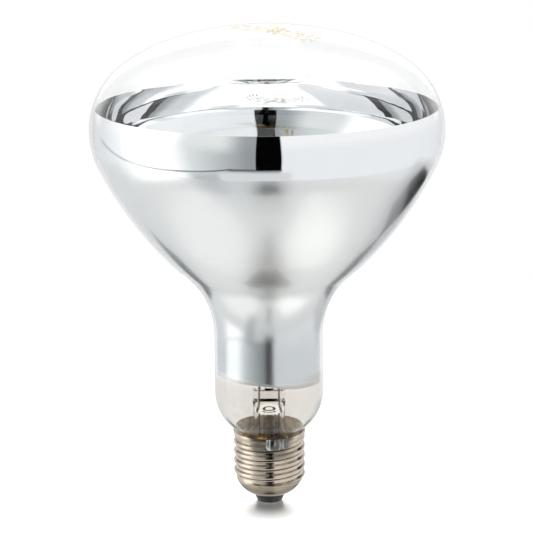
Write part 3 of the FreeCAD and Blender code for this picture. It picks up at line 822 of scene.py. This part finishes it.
def make_world():
    """White to the eye and through the glass; a studio of soft boxes to the mirrors."""
    world = bpy.data.worlds.new("studio")
    bpy.context.scene.world = world
    world.use_nodes = True
    tree = world.node_tree
    tree.nodes.clear()
    studio = Studio(tree)
    mix = studio.add("ShaderNodeMix", data_type="RGBA")
    studio.link(studio.mirrored(), mix.inputs["Factor"])
    mix.inputs["A"].default_value = (1, 1, 1, 1)
    studio.link(studio.pattern(), mix.inputs["B"])
    background = studio.add("ShaderNodeBackground")
    studio.link(mix.outputs["Result"], background.inputs["Color"])
    studio.link(background.outputs[0], studio.add("ShaderNodeOutputWorld").inputs["Surface"])


class Studio(Nodes):
    """The surroundings by direction: azimuth from the camera's side, to its right, and elevation."""

    def __init__(self, tree):
        super().__init__(tree)
        split = self.add("ShaderNodeSeparateXYZ")
        self.link(self.add("ShaderNodeTexCoord").outputs["Generated"], split.inputs[0])
        self.x, self.y, self.z = (split.outputs[axis] for axis in "XYZ")
        turn = self.math("ARCTAN2", self.x, self.product(self.y, -1.0))
        self.azimuth = self.product(turn, 180 / math.pi)
        self.elevation = self.product(self.math("ARCSINE", self.z), 180 / math.pi)

    def window(self, source, low, high, soft):
        """1 between low and high and 0 outside, with soft ends."""
        rise = self.span(source, low - soft / 2, low + soft / 2)
        fall = self.span(source, high - soft / 2, high + soft / 2, 1.0, 0.0)
        return self.product(rise, fall)

    def panel(self, under, colour, sides, heights, soft):
        """A panel of one colour, hung between two azimuths and two elevations, over what is under."""
        across = self.window(self.azimuth, *sides, soft)
        upward = self.window(self.elevation, *heights, soft)
        return self.mix(self.product(across, upward), under, colour)

    def pattern(self):
        """The sides, the table's edge and the panels, one over another."""
        turn = self.span(self.azimuth, -180, 180, kind="LINEAR")
        colour = self.ramp(turn, [((azimuth + 180) / 360, colour) for azimuth, colour in SIDES])
        colour = self.table_edge(colour)
        for panel in PANELS:
            colour = self.panel(colour, *panel)
        return colour

    def table_edge(self, under):
        """A straight dark line below the horizon, over what is under."""
        nearest, slope, half_width, colour = TABLE_EDGE
        ahead = self.math(
            "ADD",
            self.product(self.x, slope * sin(nearest)),
            self.product(self.y, -slope * cos(nearest)),
        )
        away = self.math("ABSOLUTE", self.math("ADD", self.z, ahead))
        near = self.span(away, half_width * 0.6, half_width * 1.4, 1.0, 0.0)
        depth = self.span(self.azimuth, *TABLE_DEPTH)
        share = self.product(near, depth, self.window(self.azimuth, *TABLE_SIDES, 4))
        return self.mix(share, under, colour)


def make_card(name, seen_by, centre, azimuth, tilt, size, border, least, fade):
    """A black card that only mirrors see: the film, through the glass, the cap and the glass, or both."""
    wide, high = (value / 2 for value in size)
    corners = [(-wide, -high, 0), (wide, -high, 0), (wide, high, 0), (-wide, high, 0)]
    card = new_object(name, corners, [(0, 1, 2, 3)])
    card.location = [value * MM for value in centre]
    card.rotation_euler = (math.radians(tilt), 0, math.radians(azimuth))
    card.visible_camera = card.visible_diffuse = card.visible_shadow = False
    card.visible_glossy = seen_by != "film"
    card.visible_transmission = seen_by != "cap"
    look = Material(name)
    look.set(Base_Color=(0, 0, 0, 1), Roughness=1.0, Specular_IOR_Level=0.0)
    x, y, _ = look.axes()
    cover = look.product(
        look.span_mm(look.math("ABSOLUTE", x), wide, wide - border),
        look.span_mm(look.math("ABSOLUTE", y), high, high - border),
        look.span_mm(y, *fade, least, 1.0) if fade else least,
        look.mirrored(),
    )
    look.feed(Alpha=cover)
    card.data.materials.append(look.material)


def make_floor():
    """A pale round table, its top level with the tip of the contact."""
    steps = TABLE_STEPS
    angles = [360 * step / steps for step in range(steps)]
    ring = [(TABLE_RADIUS * cos(angle), TABLE_RADIUS * sin(angle)) for angle in angles]
    vertices = [(x, y, z) for z in (0.0, -TABLE_THICKNESS) for x, y in ring]
    faces = [tuple(range(steps)), tuple(range(2 * steps - 1, steps - 1, -1))]
    for step in range(steps):
        after = (step + 1) % steps
        faces.append((step, steps + step, steps + after, after))
    table = new_object("table", vertices, faces)
    table.visible_glossy = table.visible_transmission = False
    look = Material("table_top")
    look.set(Base_Color=(0.95, 0.95, 0.95, 1), Roughness=0.33, Emission_Color=(1, 1, 1, 1))
    x, y, _ = look.axes()
    away = look.away(x, y)
    look.feed(
        Metallic=look.span_mm(away, *TABLE_MIRROR, 0.85, 0.0),
        Emission_Strength=look.span_mm(away, *TABLE_MIRROR, 0.1, 0.6),
    )
    table.data.materials.append(look.material)


CAMERA_AIM = Vector((-0.57, 0.0, 88.89))
CAMERA_DISTANCE = 698.08
CAMERA_ELEVATION = 14.564
CAMERA_ROLL = 0.44
CAMERA_LENS, CAMERA_SENSOR = 131.52, 36.0


def make_camera():
    camera = bpy.data.cameras.new("camera")
    camera.lens = CAMERA_LENS
    camera.sensor_width = CAMERA_SENSOR
    eye = bpy.data.objects.new("camera", camera)
    bpy.context.scene.collection.objects.link(eye)
    back = Vector((0, -cos(CAMERA_ELEVATION), sin(CAMERA_ELEVATION))) * CAMERA_DISTANCE
    tilt = Matrix.Rotation(math.radians(90 - CAMERA_ELEVATION), 4, "X")
    roll = Matrix.Rotation(math.radians(-CAMERA_ROLL), 4, "Z")
    eye.matrix_world = Matrix.Translation((CAMERA_AIM + back) * MM) @ tilt @ roll
    bpy.context.scene.camera = eye


def main():
    glass = make_glass()
    film = make_film()
    shell = make_shell()
    filament = make_filament()
    dashes = make_dashes()
    glass.data.materials.append(
        glass_material("clear_glass", (0.995, 1.0, 0.998), low_tint=(0.872, 0.852, 0.822), ior=1.34)
    )
    film.data.materials.append(film_material())
    shell.data.materials.append(cap_material())
    filament.data.materials.append(
        metal_material("tungsten_wire", (0.33, 0.33, 0.34), (0.2, 0.2, 0.21), (0.3, 0.45), 900)
    )
    dashes.data.materials.append(
        metal_material("gold_print", (0.80, 0.66, 0.36), (0.62, 0.50, 0.24), (0.3, 0.5), 900)
    )
    dress_nodes()
    make_world()
    make_floor()
    for name, values in CARDS.items():
        make_card(name, *values)
    make_camera()
    bpy.context.scene.view_settings.view_transform = "Standard"


main()
